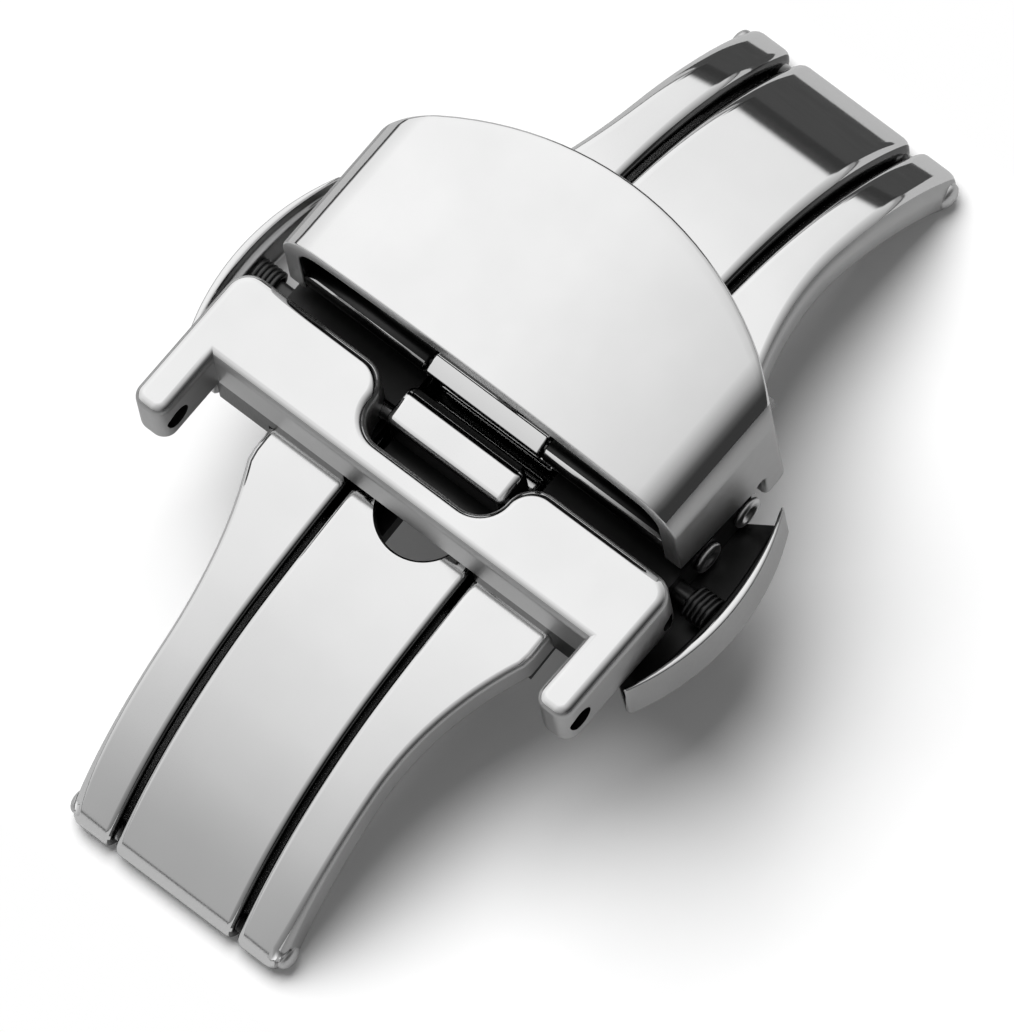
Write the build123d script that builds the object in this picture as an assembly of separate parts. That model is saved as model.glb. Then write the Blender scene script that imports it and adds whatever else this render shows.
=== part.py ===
from build123d import *
import math
import os

# A butterfly clasp for an 18 mm watch strap, closed, as it lies on its four strip ends.
# X runs along the strap, Y across it and Z points away from the wrist. The origin is on the
# surface the ends rest on, midway between the two end hinges. All sizes are millimetres.

# Driving dimensions, read from the photograph at the scale of an 18 mm strap. A rise or a drop
# is measured from the top of the arch.
half_length = 20.35
strip_thickness = 1.6
crown_radius = 50.0
crown_half_length = 10.3
end_slope = 51.0
arm_width = 5.8
slot_width = 0.22
rail_end_half_width = 5.2
flare_half_width = 6.9
flare_half_length = 6.6
flare_end = 14.0
rail_corner_radius = 1.0
lock_centre = -0.85
lock_half_length = 4.45
lock_overhang = 2.55
lock_rise = 0.538
lock_drop = 1.212
lug_gap = 18.2
lug_width = 1.6
bar_face = -5.45
bar_depth = 3.7
bar_rise = 0.888
bar_height = 2.7
cover_mouth = -0.6
cover_overhang = 0.2
cover_apex = 8.95
cover_arc_radius = 14.8
cover_rise = 6.788
cover_wall = 0.85
cover_hinge_x = -0.1
cover_hinge_rise = 2.338
button_travel = 0.55
button_rise = 0.888

# Fits that the pieces share
pin_clearance = 0.02
running_clearance = 0.05
seat_clearance = 0.02
body_clearance = 0.3
overrun = 1.0

strip_half = strip_thickness / 2
hinge_x = half_length - strip_half
hinge_z = strip_half
slope = math.radians(end_slope)
crown_slope = math.asin(crown_half_length / crown_radius)
strip_end_x = hinge_x + strip_half * math.sin(slope)
strip_end_z = hinge_z + strip_half * math.cos(slope)
end_radius = (strip_end_x - crown_half_length) / (math.sin(slope) - math.sin(crown_slope))
end_arc_x = strip_end_x - end_radius * math.sin(slope)
end_arc_z = strip_end_z - end_radius * math.cos(slope)
crown_z = end_arc_z + end_radius * math.cos(crown_slope) - crown_radius * math.cos(crown_slope)
arch_top = crown_z + crown_radius
lock_half_width = flare_half_width + lock_overhang
cover_half_width = lock_half_width + cover_overhang
lock_top = arch_top + lock_rise
lock_bottom = arch_top - lock_drop
bar_bottom = arch_top + bar_rise
bar_top = bar_bottom + bar_height
cover_top = arch_top + cover_rise
cover_hinge_z = arch_top + cover_hinge_rise
button_top = arch_top + button_rise
arm_half = arm_width / 2
rail_inner = arm_half + slot_width


def block(x0, x1, y0, y1, z0, z1):
    """A box between two corners."""
    size = Box(abs(x1 - x0), abs(y1 - y0), abs(z1 - z0))
    return Pos((x0 + x1) / 2, (y0 + y1) / 2, (z0 + z1) / 2) * size


def rod_across(x, z, radius, y0, y1):
    """A round rod that lies along Y."""
    return Pos(x, (y0 + y1) / 2, z) * Rot(90, 0, 0) * Cylinder(radius, abs(y1 - y0))


def rod_up(x, y, radius, z0, z1):
    """A round rod that stands along Z."""
    return Pos(x, y, (z0 + z1) / 2) * Cylinder(radius, abs(z1 - z0))


def only_solid(shape):
    """The largest solid of a cut, without the thin leavings below the strips."""
    return max(shape.solids(), key=lambda solid: solid.volume)


def side_profile(wires, y0, y1):
    """A side view, drawn as (x, z) lines, pulled out from y0 to y1."""
    face = Plane.XZ * make_face(Curve() + wires)
    return Pos(0, max(y0, y1), 0) * extrude(face, abs(y1 - y0), dir=(0, -1, 0))


def plan_solid(wires, z0, z1):
    """A plan view, drawn as (x, y) lines, pulled up from z0 to z1."""
    face = make_face(Curve() + wires)
    return Pos(0, 0, z0) * extrude(face, z1 - z0, dir=(0, 0, 1))


def arch_height(x, depth):
    """Height of the arch's surface at x, depth below its top."""
    if abs(x) <= (crown_radius - depth) * math.sin(crown_slope):
        return crown_z + math.sqrt((crown_radius - depth) ** 2 - x * x)
    return end_arc_z + math.sqrt((end_radius - depth) ** 2 - (abs(x) - end_arc_x) ** 2)


def arch_point(turn, depth, side):
    """A point of the arch where its slope is turn, depth below its top."""
    if turn <= crown_slope:
        radius = crown_radius - depth
        return (side * radius * math.sin(turn), crown_z + radius * math.cos(turn))
    radius = end_radius - depth
    return (side * (end_arc_x + radius * math.sin(turn)), end_arc_z + radius * math.cos(turn))


def arch_line(depth):
    """The three arcs of the arch from its left end to its right end."""
    middle_turn = (slope + crown_slope) / 2
    return [
        ThreePointArc(arch_point(slope, depth, -1), arch_point(middle_turn, depth, -1),
                      arch_point(crown_slope, depth, -1)),
        ThreePointArc(arch_point(crown_slope, depth, -1), arch_point(0, depth, 1),
                      arch_point(crown_slope, depth, 1)),
        ThreePointArc(arch_point(crown_slope, depth, 1), arch_point(middle_turn, depth, 1),
                      arch_point(slope, depth, 1)),
    ]


def arch_band(y0, y1):
    """The curved strip over its whole length, with both ends rounded about the hinge."""
    lines = arch_line(0) + arch_line(strip_thickness)
    for side in (-1, 1):
        nose = (side * (hinge_x + strip_half * math.cos(slope)), hinge_z - strip_half * math.sin(slope))
        lines.append(ThreePointArc(arch_point(slope, 0, side), nose,
                                   arch_point(slope, strip_thickness, side)))
    return side_profile(lines, y0, y1)


def arch_layer(depth0, depth1, x0, x1, y0, y1):
    """A plate that follows the crown of the arch between two depths."""
    low0 = (x0, arch_height(x0, depth1))
    low1 = (x1, arch_height(x1, depth1))
    high0 = (x0, arch_height(x0, depth0))
    high1 = (x1, arch_height(x1, depth0))
    middle = (x0 + x1) / 2
    lines = [
        ThreePointArc(high0, (middle, arch_height(middle, depth0)), high1),
        Line(high1, low1),
        ThreePointArc(low1, (middle, arch_height(middle, depth1)), low0),
        Line(low0, high0),
    ]
    return side_profile(lines, y0, y1)


# The two outer strips of the base, one each side of the folding arms
hinge_pin_radius = 0.4
flare_rise = flare_half_width - rail_end_half_width
flare_run = flare_end - flare_half_length
flare_radius = (flare_run ** 2 + flare_rise ** 2) / (2 * flare_rise)
rivet_radius = 0.4
base_rivet_spread = 3.4
base_rivet_x = (lock_centre - base_rivet_spread, lock_centre + base_rivet_spread)
base_rivet_inset = 1.9
base_rivet_y = flare_half_width - base_rivet_inset


def flare_y(x):
    return rail_end_half_width + flare_radius - math.sqrt(flare_radius ** 2 - (flare_end - x) ** 2)


def rail_plan():
    """Outline of one outer strip seen from above, for the side of +Y."""
    middle = (flare_half_length + flare_end) / 2
    length = half_length + overrun
    corner_x = half_length - rail_corner_radius
    corner_y = rail_end_half_width - rail_corner_radius
    bend = rail_corner_radius * math.sqrt(0.5)
    return [
        Line((-flare_end, rail_end_half_width), (-corner_x, rail_end_half_width)),
        ThreePointArc((-corner_x, rail_end_half_width), (-corner_x - bend, corner_y + bend),
                      (-half_length, corner_y)),
        Polyline((-half_length, corner_y), (-length, corner_y), (-length, rail_inner),
                 (length, rail_inner), (length, corner_y), (half_length, corner_y)),
        ThreePointArc((half_length, corner_y), (corner_x + bend, corner_y + bend),
                      (corner_x, rail_end_half_width)),
        Line((corner_x, rail_end_half_width), (flare_end, rail_end_half_width)),
        ThreePointArc((flare_end, rail_end_half_width), (middle, flare_y(middle)),
                      (flare_half_length, flare_half_width)),
        Line((flare_half_length, flare_half_width), (-flare_half_length, flare_half_width)),
        ThreePointArc((-flare_half_length, flare_half_width), (-middle, flare_y(middle)),
                      (-flare_end, rail_end_half_width)),
    ]


def rail(side):
    plan = plan_solid(rail_plan(), -overrun, arch_top + overrun)
    strip = arch_band(0, flare_half_width + overrun) & plan
    for x in (-hinge_x, hinge_x):
        strip -= rod_across(x, hinge_z, hinge_pin_radius + pin_clearance, 0, flare_half_width)
    for x in base_rivet_x:
        strip -= rod_up(x, base_rivet_y, rivet_radius + seat_clearance, 0, arch_top)
    return strip if side > 0 else mirror(strip, Plane.XZ)


# The cross plate under the arms, which joins the outer strips
bridge_thickness = 1.0
bridge_inset = 0.3
bridge_half_width = flare_half_width - bridge_inset
bridge_relief = 0.2
bridge_start = -6.4
bridge_end = 4.7
bridge_window = 2.5
bridge_window_x = -4.75


def base_bridge():
    plate = arch_layer(strip_thickness, strip_thickness + bridge_thickness,
                       bridge_start, bridge_end, -bridge_half_width, bridge_half_width)
    relief = arch_layer(strip_thickness - overrun, strip_thickness + bridge_relief,
                        bridge_start - overrun, bridge_end + overrun, -rail_inner, rail_inner)
    plate -= relief
    plate -= Pos(bridge_window_x, 0, arch_top / 2) * Box(bridge_window, bridge_window, arch_top)
    for x in base_rivet_x:
        for y in (-base_rivet_y, base_rivet_y):
            plate -= rod_up(x, y, rivet_radius + seat_clearance, 0, arch_top)
    return plate


# The lock housings, one on each outer strip, with a pocket for the slide
housing_inner = 3.2
rail_side_clearance = 0.05
side_wall = 0.5
cap_thickness = 0.3
floor_thickness = 0.25
pocket_half_length = 2.75
pocket_inner = flare_half_width + rail_side_clearance
lock_start = lock_centre - lock_half_length
lock_end = lock_centre + lock_half_length
cap_bottom = lock_top - cap_thickness
push_rod_radius = 0.4
push_rod_drop = 0.362
side_rivet_shares = (-0.9, -0.38, 0.38, 0.9)
side_rivet_shank = 0.3
side_rivet_head = 0.68
side_rivet_head_height = 0.26
slide_bar_gap = 0.6
slide_bar_thickness = 0.3
push_rod_z = arch_top - push_rod_drop
slide_bar_inner = pocket_inner + slide_bar_gap


def push_rod_hole():
    return rod_across(lock_centre, push_rod_z, push_rod_radius + running_clearance,
                      flare_half_width, lock_half_width + overrun)


def lock_housing(side):
    outer = block(lock_start, lock_end, flare_half_width + rail_side_clearance, lock_half_width,
                  lock_bottom, cap_bottom)
    shelf = block(lock_start, lock_end, housing_inner, flare_half_width + rail_side_clearance,
                  arch_top - strip_thickness, cap_bottom)
    shelf -= arch_band(0, flare_half_width + rail_side_clearance)
    body = outer + shelf
    body -= block(lock_centre - pocket_half_length, lock_centre + pocket_half_length,
                  pocket_inner, lock_half_width - side_wall,
                  lock_bottom + floor_thickness, cap_bottom + overrun)
    body -= push_rod_hole()
    for share in side_rivet_shares:
        x = lock_centre + share * lock_half_length
        body -= rod_across(x, push_rod_z, side_rivet_shank + seat_clearance,
                           lock_half_width - side_wall, lock_half_width + overrun)
    for x in base_rivet_x:
        body -= rod_up(x, base_rivet_y, rivet_radius + seat_clearance, 0, lock_top)
    body = only_solid(body)
    return body if side > 0 else mirror(body, Plane.XZ)


# Catches on the strap bar and on the cover's carrier, which drop into the housings
catch_width = 0.6
catch_stem_gap = 0.13
catch_stem_thickness = 0.4
catch_nose = 0.1
catch_drop = 0.912
catch_nose_drop = 0.512
bar_catch_x = -2.4
carrier_catch_x = 0.7
bar_catch_swing = 1.0
carrier_catch_swing = 0.75
catch_stem_inner = slide_bar_inner + slide_bar_thickness + catch_stem_gap
catch_stem_outer = catch_stem_inner + catch_stem_thickness
catch_bottom = arch_top - catch_drop
catch_nose_top = arch_top - catch_nose_drop


def lock_cap(side):
    """The cover plate of a lock housing, with a window for each catch."""
    plate = block(lock_start, lock_end, housing_inner, lock_half_width, cap_bottom, lock_top)
    window_inner = catch_stem_inner - catch_nose - body_clearance
    window_outer = catch_stem_outer + body_clearance
    reach = catch_width / 2 + body_clearance
    plate -= block(bar_catch_x - reach - bar_catch_swing, bar_catch_x + reach,
                   window_inner, window_outer, 0, lock_top + overrun)
    plate -= block(carrier_catch_x - reach, carrier_catch_x + reach + carrier_catch_swing,
                   window_inner, window_outer, 0, lock_top + overrun)
    return plate if side > 0 else mirror(plate, Plane.XZ)


def catch(x, side, top):
    """A hooked catch: an upright stem with a nose that points to the middle."""
    stem = block(x - catch_width / 2, x + catch_width / 2, side * catch_stem_inner,
                 side * catch_stem_outer, catch_bottom, top)
    nose = block(x - catch_width / 2, x + catch_width / 2,
                 side * (catch_stem_inner - catch_nose), side * catch_stem_outer,
                 catch_bottom, catch_nose_top)
    return stem + nose


def catch_socket(x, side, bottom, top):
    reach = catch_width / 2 + seat_clearance
    return block(x - reach, x + reach, side * (catch_stem_inner - seat_clearance),
                 side * (catch_stem_outer + seat_clearance), bottom, top)


def side_rivets():
    heads = []
    for side in (-1, 1):
        for share in side_rivet_shares:
            x = lock_centre + share * lock_half_length
            shank = rod_across(x, push_rod_z, side_rivet_shank,
                               side * (lock_half_width - side_wall), side * lock_half_width)
            head = rod_across(x, push_rod_z, side_rivet_head, side * lock_half_width,
                              side * (lock_half_width + side_rivet_head_height))
            heads.append(shank + head)
    return Compound(heads)


def base_rivets():
    rivets = []
    for x in base_rivet_x:
        for y in (-base_rivet_y, base_rivet_y):
            bottom = arch_height(x, strip_thickness + bridge_thickness)
            rivets.append(rod_up(x, y, rivet_radius, bottom, cap_bottom))
    return Compound(rivets)


# The slides and buttons
slide_bar_half_length = 2.3
slide_bar_bottom = catch_nose_top + running_clearance
slide_bar_height = 0.55
button_half_length = 4.7
button_standoff = 1.29
button_back = lock_half_width + button_standoff
button_height = 2.4
button_tip = 0.2
button_back_bulge = 0.65
button_face_bulge = 1.15
button_edge_radius = 0.12
spring_radius = 0.75
spring_bore = 0.45
spring_reach = button_travel + 0.15
button_seat = button_back + button_back_bulge


def slide(side):
    """The push rod with the cross bar that holds the catches down."""
    bar = block(lock_centre - slide_bar_half_length, lock_centre + slide_bar_half_length,
                side * slide_bar_inner, side * (slide_bar_inner + slide_bar_thickness),
                slide_bar_bottom, slide_bar_bottom + slide_bar_height)
    rod = rod_across(lock_centre, push_rod_z, push_rod_radius, side * slide_bar_inner,
                     side * button_seat)
    return bar + rod


def button(side):
    """A crescent plate with a hollow back, which the push rod carries."""
    start = lock_centre - button_half_length
    end = lock_centre + button_half_length
    back = side * button_back
    edge = side * (button_back + button_tip)
    lines = [
        ThreePointArc((start, back), (lock_centre, side * button_seat), (end, back)),
        Line((end, back), (end, edge)),
        ThreePointArc((end, edge), (lock_centre, edge + side * button_face_bulge), (start, edge)),
        Line((start, edge), (start, back)),
    ]
    cap = plan_solid(lines, button_top - button_height, button_top)
    arcs = cap.edges().filter_by(GeomType.CIRCLE)
    rims = sorted(arcs, key=lambda arc: abs(arc.center().Y))[-2:]
    cap = fillet(rims, button_edge_radius)
    return cap - rod_across(lock_centre, push_rod_z, push_rod_radius + seat_clearance, 0,
                            side * button_seat)


def button_spring(side):
    """The spring's outer shape, from the button to just short of the housing."""
    coil = rod_across(lock_centre, push_rod_z, spring_radius,
                      side * (button_seat - seat_clearance),
                      side * (lock_half_width + spring_reach))
    return coil - rod_across(lock_centre, push_rod_z, spring_bore, 0, side * (button_seat + overrun))


# The end hinges
hinge_head_radius = 0.55
hinge_head_height = 0.22
hinge_head_dome = 0.12


def hinge_pin(x):
    """A plain pin through both outer strips and an arm, with a domed head at each end."""
    pin = rod_across(x, hinge_z, hinge_pin_radius, -rail_end_half_width, rail_end_half_width)
    for side in (-1, 1):
        head = rod_across(x, hinge_z, hinge_head_radius, side * rail_end_half_width,
                          side * (rail_end_half_width + hinge_head_height))
        rim = head.edges().group_by(Axis.Y)[-1 if side > 0 else 0]
        pin += fillet(rim, hinge_head_dome)
    return pin


# The two folding arms
arm_split = -0.4
arm_end_gap = 0.3
arm_hole_radius = 1.87
arm_hole_x = -4.4
anchor_rivet_x = -2.1
anchor_rivet_y = 1.6
carrier_rivet_x = (1.9, 5.0)
carrier_rivet_y = 1.6
arm_rivet_radius = 0.45


def arm(side, rivet_x, rivet_y):
    strip = arch_band(-arm_half, arm_half)
    inner_end = arm_split + side * arm_end_gap / 2
    strip &= block(inner_end, side * (half_length + overrun), -arm_width, arm_width,
                   -overrun, arch_top + overrun)
    strip -= rod_across(side * hinge_x, hinge_z, hinge_pin_radius + pin_clearance,
                        -arm_width, arm_width)
    for x in rivet_x:
        for y in (-rivet_y, rivet_y):
            strip -= rod_up(x, y, arm_rivet_radius + seat_clearance, 0, arch_top + overrun)
    return strip


def left_arm():
    hole = rod_up(arm_hole_x, 0, arm_hole_radius, 0, arch_top + overrun)
    return arm(-1, (anchor_rivet_x,), anchor_rivet_y) - hole


def right_arm():
    return arm(1, carrier_rivet_x, carrier_rivet_y)


# The block on the left arm, in the strap bar's notch, and the pin through both
anchor_half_width = 2.87
anchor_front = -3.05
anchor_back = -1.35
anchor_rise = 2.588
anchor_bevel_run = 1.3
anchor_bevel_drop = 1.1
tongue_front = -5.0
tongue_half_width = 2.5
tongue_thickness = 0.5
bar_pin_x = -2.55
bar_pin_rise = 1.538
bar_pin_radius = 0.35
anchor_top = arch_top + anchor_rise
bar_pin_z = arch_top + bar_pin_rise


def anchor_block():
    """A block with a bevelled front and a tongue that the strap bar rests on."""
    floor = arch_top - strip_thickness
    side_view = Polyline((anchor_front, floor), (anchor_back, floor), (anchor_back, anchor_top),
                         (anchor_front + anchor_bevel_run, anchor_top),
                         (anchor_front, anchor_top - anchor_bevel_drop), (anchor_front, floor))
    body = side_profile([side_view], -anchor_half_width, anchor_half_width)
    body = only_solid(body - arch_band(-arm_width, arm_width))
    body += block(tongue_front, anchor_front + tongue_thickness, -tongue_half_width,
                  tongue_half_width, bar_bottom - tongue_thickness, bar_bottom)
    body -= rod_across(bar_pin_x, bar_pin_z, bar_pin_radius + seat_clearance, -arm_width, arm_width)
    for y in (-anchor_rivet_y, anchor_rivet_y):
        body -= rod_up(anchor_rivet_x, y, arm_rivet_radius + seat_clearance, 0, bar_bottom)
    return body


def arm_rivet(x, y, top):
    """A rivet up through an arm into the block above it, flush below."""
    bottom = max(arch_height(x - arm_rivet_radius, strip_thickness),
                 arch_height(x + arm_rivet_radius, strip_thickness))
    return rod_up(x, y, arm_rivet_radius, bottom, top)


def anchor_rivets():
    return Compound([arm_rivet(anchor_rivet_x, y, bar_bottom)
                     for y in (-anchor_rivet_y, anchor_rivet_y)])


# The strap bar: a C with two lugs for the strap's spring bar
notch_half_width = 4.55
notch_turn_radius = 1.25
lug_length = 3.1
lug_tip_radius = 0.6
bar_corner_radius = 1.0
lug_hole_radius = 0.55
lug_hole_inset = 0.85
lug_hole_rise = 2.088
lug_nose_radius = 1.0
bar_edge_radius = 0.3
lug_outer = lug_gap / 2 + lug_width
lug_hole_z = arch_top + lug_hole_rise
bar_back = bar_face + bar_depth
lug_tip = bar_face - lug_length


def strap_bar_half_plan():
    """Right-hand half of the outline, from the middle of the outer face round to the notch."""
    inner = lug_gap / 2
    notch_bottom = bar_back - 2 * notch_turn_radius
    turn = notch_turn_radius * math.sqrt(0.5)
    first_centre = (bar_back - notch_turn_radius, notch_half_width)
    second_centre = (bar_back - notch_turn_radius, notch_half_width - 2 * notch_turn_radius)
    corner = bar_corner_radius * (1 - math.sqrt(0.5))
    tip = lug_tip_radius * (1 - math.sqrt(0.5))
    return [
        Polyline((bar_face, 0), (bar_face, inner), (lug_tip + lug_tip_radius, inner)),
        ThreePointArc((lug_tip + lug_tip_radius, inner), (lug_tip + tip, inner + tip),
                      (lug_tip, inner + lug_tip_radius)),
        Line((lug_tip, inner + lug_tip_radius), (lug_tip, lug_outer - lug_tip_radius)),
        ThreePointArc((lug_tip, lug_outer - lug_tip_radius), (lug_tip + tip, lug_outer - tip),
                      (lug_tip + lug_tip_radius, lug_outer)),
        Line((lug_tip + lug_tip_radius, lug_outer), (bar_back - bar_corner_radius, lug_outer)),
        ThreePointArc((bar_back - bar_corner_radius, lug_outer),
                      (bar_back - corner, lug_outer - corner),
                      (bar_back, lug_outer - bar_corner_radius)),
        Line((bar_back, lug_outer - bar_corner_radius), (bar_back, notch_half_width)),
        ThreePointArc((bar_back, notch_half_width),
                      (first_centre[0] + turn, first_centre[1] - turn),
                      (first_centre[0], first_centre[1] - notch_turn_radius)),
        ThreePointArc((first_centre[0], first_centre[1] - notch_turn_radius),
                      (second_centre[0] - turn, second_centre[1] + turn),
                      (notch_bottom, second_centre[1])),
        Polyline((notch_bottom, second_centre[1]), (notch_bottom, 0), (bar_face, 0)),
    ]


def lug_nose_solid():
    """The side view of the bar, with the lug tips rounded above and below."""
    bend = lug_nose_radius * (1 - math.sqrt(0.5))
    start = lug_tip + lug_nose_radius
    lines = [
        Polyline((start, bar_bottom), (bar_back + overrun, bar_bottom), (bar_back + overrun, bar_top),
                 (start, bar_top)),
        ThreePointArc((start, bar_top), (lug_tip + bend, bar_top - bend),
                      (lug_tip, bar_top - lug_nose_radius)),
        Line((lug_tip, bar_top - lug_nose_radius), (lug_tip, bar_bottom + lug_nose_radius)),
        ThreePointArc((lug_tip, bar_bottom + lug_nose_radius), (lug_tip + bend, bar_bottom + bend),
                      (start, bar_bottom)),
    ]
    return side_profile(lines, -lug_outer - overrun, lug_outer + overrun)


def strap_bar():
    half = plan_solid(strap_bar_half_plan(), bar_bottom, bar_top)
    bar = half + mirror(half, Plane.XZ)
    bar = fillet(bar.edges().group_by(Axis.Z)[-1], bar_edge_radius) & lug_nose_solid()
    hole_x = lug_tip + lug_hole_inset
    bar -= rod_across(hole_x, lug_hole_z, lug_hole_radius, -lug_outer - overrun, lug_outer + overrun)
    bar -= rod_across(bar_pin_x, bar_pin_z, bar_pin_radius + seat_clearance,
                      -lug_outer - overrun, lug_outer + overrun)
    for side in (-1, 1):
        bar -= catch_socket(bar_catch_x, side, bar_bottom - overrun, bar_pin_z - bar_pin_radius)
    return bar


def bar_pin():
    return rod_across(bar_pin_x, bar_pin_z, bar_pin_radius, -lug_outer, lug_outer)


def bar_catches():
    top = bar_pin_z - bar_pin_radius - seat_clearance
    return Compound([catch(bar_catch_x, side, top) for side in (-1, 1)])


# The carrier on the right arm, which holds the cover's hinge, the pad and the tang
carrier_side_clearance = 0.15
carrier_front = 0.55
carrier_back = 5.9
carrier_rise = 0.938
carrier_thickness = 0.8
carrier_foot_front = 0.9
knuckle_radius = 0.55
knuckle_half_width = 2.75
knuckle_gap = 0.12
cover_pin_radius = 0.25
pad_inset = 0.35
pad_front = 0.95
pad_back = 6.6
pad_thickness = 0.6
tang_x = 3.4
tang_radius = 0.6
tang_shank_radius = 0.4
tang_height_share = 0.55
tang_dome = 0.3
carrier_half_width = cover_half_width - cover_wall - carrier_side_clearance
pad_half_width = carrier_half_width - pad_inset
carrier_bottom = arch_top + carrier_rise
carrier_top = carrier_bottom + carrier_thickness
tang_height = tang_height_share * (cover_top - cover_wall - carrier_top)


def cover_carrier():
    plate = block(carrier_front, carrier_back, -carrier_half_width, carrier_half_width,
                  carrier_bottom, carrier_top)
    foot = block(carrier_foot_front, carrier_back, -anchor_half_width, anchor_half_width,
                 arch_top - strip_thickness, carrier_bottom)
    foot = only_solid(foot - arch_band(-arm_width, arm_width))
    web = block(cover_hinge_x, pad_front, -knuckle_half_width, knuckle_half_width,
                carrier_bottom, cover_hinge_z)
    knuckle = rod_across(cover_hinge_x, cover_hinge_z, knuckle_radius, -knuckle_half_width,
                         knuckle_half_width)
    body = plate + foot + web + knuckle
    body -= rod_across(cover_hinge_x, cover_hinge_z, cover_pin_radius + pin_clearance,
                       -knuckle_half_width - overrun, knuckle_half_width + overrun)
    for side in (-1, 1):
        body -= catch_socket(carrier_catch_x, side, 0, carrier_top + overrun)
        body -= block(carrier_front - overrun, cover_hinge_x + knuckle_radius + body_clearance,
                      side * knuckle_half_width, side * (carrier_half_width + overrun),
                      cover_hinge_z - knuckle_radius - body_clearance, cover_hinge_z + overrun)
    for x in carrier_rivet_x:
        for y in (-carrier_rivet_y, carrier_rivet_y):
            body -= rod_up(x, y, arm_rivet_radius + seat_clearance, 0, carrier_top + overrun)
    body -= rod_up(tang_x, 0, tang_shank_radius + seat_clearance, carrier_bottom, carrier_top + overrun)
    return body


def carrier_catches():
    return Compound([catch(carrier_catch_x, side, carrier_top) for side in (-1, 1)])


def carrier_rivets():
    rivets = []
    for x in carrier_rivet_x:
        for y in (-carrier_rivet_y, carrier_rivet_y):
            rivets.append(arm_rivet(x, y, carrier_top))
    return Compound(rivets)


def strap_pad():
    """The plate the strap lies on inside the cover."""
    plate = block(pad_front, pad_back, -pad_half_width, pad_half_width, carrier_top,
                  carrier_top + pad_thickness)
    return plate - rod_up(tang_x, 0, tang_shank_radius + seat_clearance, carrier_bottom, cover_top)


def tang():
    """The peg that goes through a hole of the strap, riveted into the carrier."""
    pad_top = carrier_top + pad_thickness
    peg = rod_up(tang_x, 0, tang_radius, pad_top, pad_top + tang_height)
    peg = fillet(peg.edges().group_by(Axis.Z)[-1], tang_dome)
    return peg + rod_up(tang_x, 0, tang_shank_radius, carrier_bottom, pad_top)


def cover_hinge_pin():
    return rod_across(cover_hinge_x, cover_hinge_z, cover_pin_radius, -carrier_half_width,
                      carrier_half_width)


# The cover over the strap: a bridge with a straight mouth and a curved back
cover_inner_half_width = cover_half_width - cover_wall
cover_corner_radius = 2.0
wall_front_rise = 1.388
wall_back_rise = 0.788
tab_front = 4.15
tab_drop = 0.612
tab_corner_x = 4.75
tab_corner_radius = 0.85
wall_bottom_front = arch_top + wall_front_rise
wall_bottom_back = arch_top + wall_back_rise
tab_bottom = arch_top - tab_drop


def cover_section(half_width, top, radius, bottom):
    """The bridge's section across the strap, drawn as (y, z) lines."""
    bend = radius * (1 - math.sqrt(0.5))
    return [
        Polyline((-half_width, top - radius), (-half_width, bottom), (half_width, bottom),
                 (half_width, top - radius)),
        ThreePointArc((half_width, top - radius), (half_width - bend, top - bend),
                      (half_width - radius, top)),
        Line((half_width - radius, top), (-half_width + radius, top)),
        ThreePointArc((-half_width + radius, top), (-half_width + bend, top - bend),
                      (-half_width, top - radius)),
    ]


def bridge_solid(half_width, top, radius, bottom):
    face = Plane.YZ * make_face(Curve() + cover_section(half_width, top, radius, bottom))
    start = cover_mouth - overrun
    return Pos(start, 0, 0) * extrude(face, cover_apex + overrun - start, dir=(1, 0, 0))


def cover_plan():
    """The D seen from above."""
    wide = cover_half_width + overrun
    back = cover_apex - cover_arc_radius + math.sqrt(cover_arc_radius ** 2 - wide ** 2)
    return [
        Polyline((back, -wide), (cover_mouth, -wide), (cover_mouth, wide), (back, wide)),
        ThreePointArc((back, wide), (cover_apex, 0), (back, -wide)),
    ]


def strap_cover():
    shell = bridge_solid(cover_half_width, cover_top, cover_corner_radius, tab_bottom)
    shell -= bridge_solid(cover_inner_half_width, cover_top - cover_wall,
                          cover_corner_radius - cover_wall, tab_bottom - overrun)
    shell &= plan_solid(cover_plan(), 0, cover_top + overrun)
    below = [Polyline((cover_mouth - overrun, wall_bottom_front), (tab_front, wall_bottom_back),
                      (tab_front, tab_bottom - overrun), (cover_mouth - overrun, tab_bottom - overrun),
                      (cover_mouth - overrun, wall_bottom_front))]
    low = tab_bottom - overrun
    corner_z = tab_bottom + tab_corner_radius
    corner_back = tab_corner_x + tab_corner_radius
    bend = tab_corner_radius * math.sqrt(0.5)
    behind = [ThreePointArc((tab_corner_x, tab_bottom), (tab_corner_x + bend, corner_z - bend),
                            (corner_back, corner_z)),
              Polyline((corner_back, corner_z), (cover_apex + overrun, corner_z),
                       (cover_apex + overrun, low), (tab_corner_x, low), (tab_corner_x, tab_bottom))]
    for cut in (below, behind):
        shell -= side_profile(cut, -cover_half_width - overrun, cover_half_width + overrun)
    shell -= rod_across(cover_hinge_x, cover_hinge_z, cover_pin_radius + pin_clearance,
                        -carrier_half_width, carrier_half_width)
    return shell


def cover_knuckles():
    """The two side knuckles, fixed to the cover's walls."""
    tubes = []
    for side in (-1, 1):
        tube = rod_across(cover_hinge_x, cover_hinge_z, knuckle_radius,
                          side * (knuckle_half_width + knuckle_gap), side * cover_inner_half_width)
        tubes.append(tube - rod_across(cover_hinge_x, cover_hinge_z, cover_pin_radius + pin_clearance,
                                       0, side * carrier_half_width))
    return Compound(tubes)


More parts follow.
